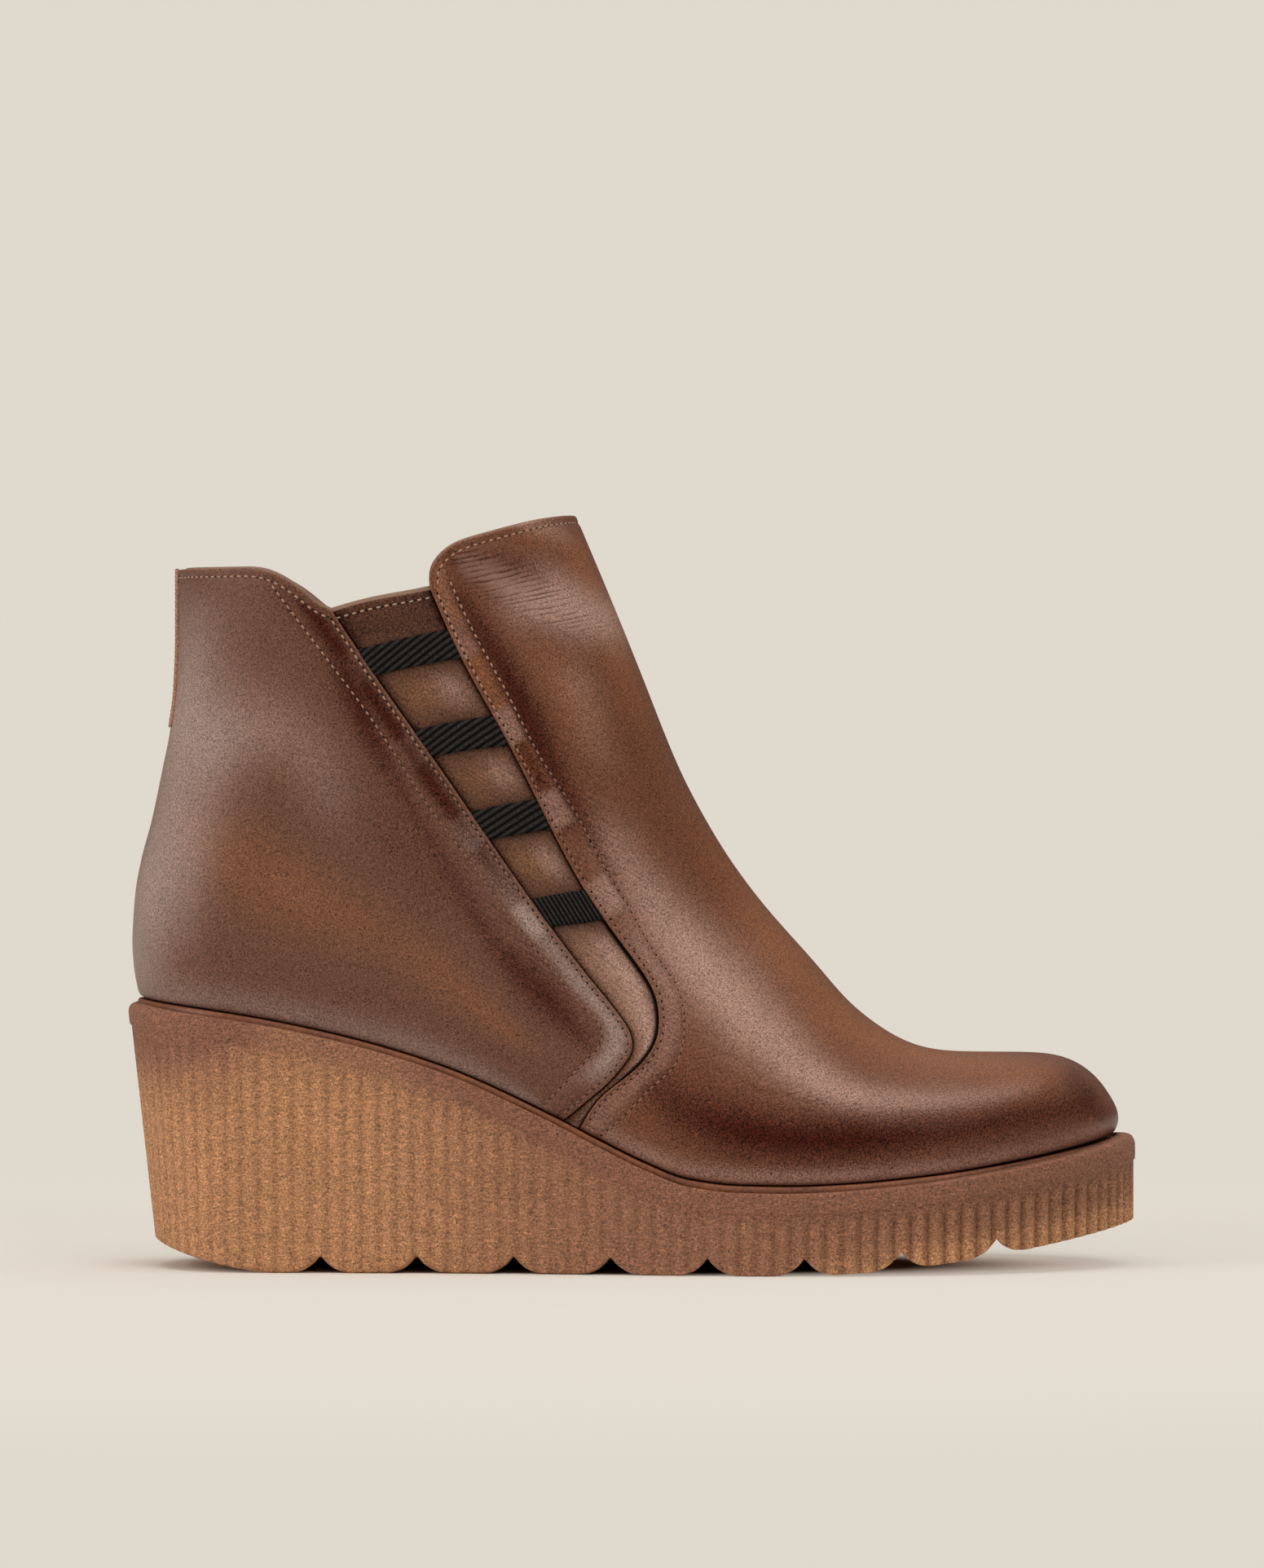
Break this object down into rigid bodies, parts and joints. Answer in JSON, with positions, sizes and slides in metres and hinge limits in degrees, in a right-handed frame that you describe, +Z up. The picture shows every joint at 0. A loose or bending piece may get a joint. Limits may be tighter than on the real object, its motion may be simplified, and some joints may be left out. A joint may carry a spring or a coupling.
{
  "type": "wedge ankle boot",
  "caption": "Right ankle boot with a ribbed wedge sole, overlapping smooth leather panels, black elastic straps on the outer side and a raised front flap at the collar",
  "frame": {"origin": "middle of the bounding box on the floor plane, under the standing boot", "axes": "+X from heel to toe, +Y to the inner side of a right foot, +Z up"},
  "size_m": [0.2498, 0.092, 0.1856],
  "materials": {
    "leather": "burnished smooth calf, soft semi-gloss, mid-brown with darker edges",
    "lining": "matte brown lining leather, gusset leather on the outer side",
    "elastic": "black twill-woven elastic",
    "plate": "dark red-brown painted edge",
    "crepe": "matte amber crepe rubber with fine speckle",
    "insole": "matte tan leather foot bed"
  },
  "bodies": {
    "root": {"sole": "crepe", "midsole": "plate", "insole": "insole", "upper": "lining", "vamp": "leather", "quarter": "leather", "back_strip": "leather", "strap_1": "elastic", "strap_2": "elastic", "strap_3": "elastic", "strap_4": "elastic"}
  },
  "joints": []
}
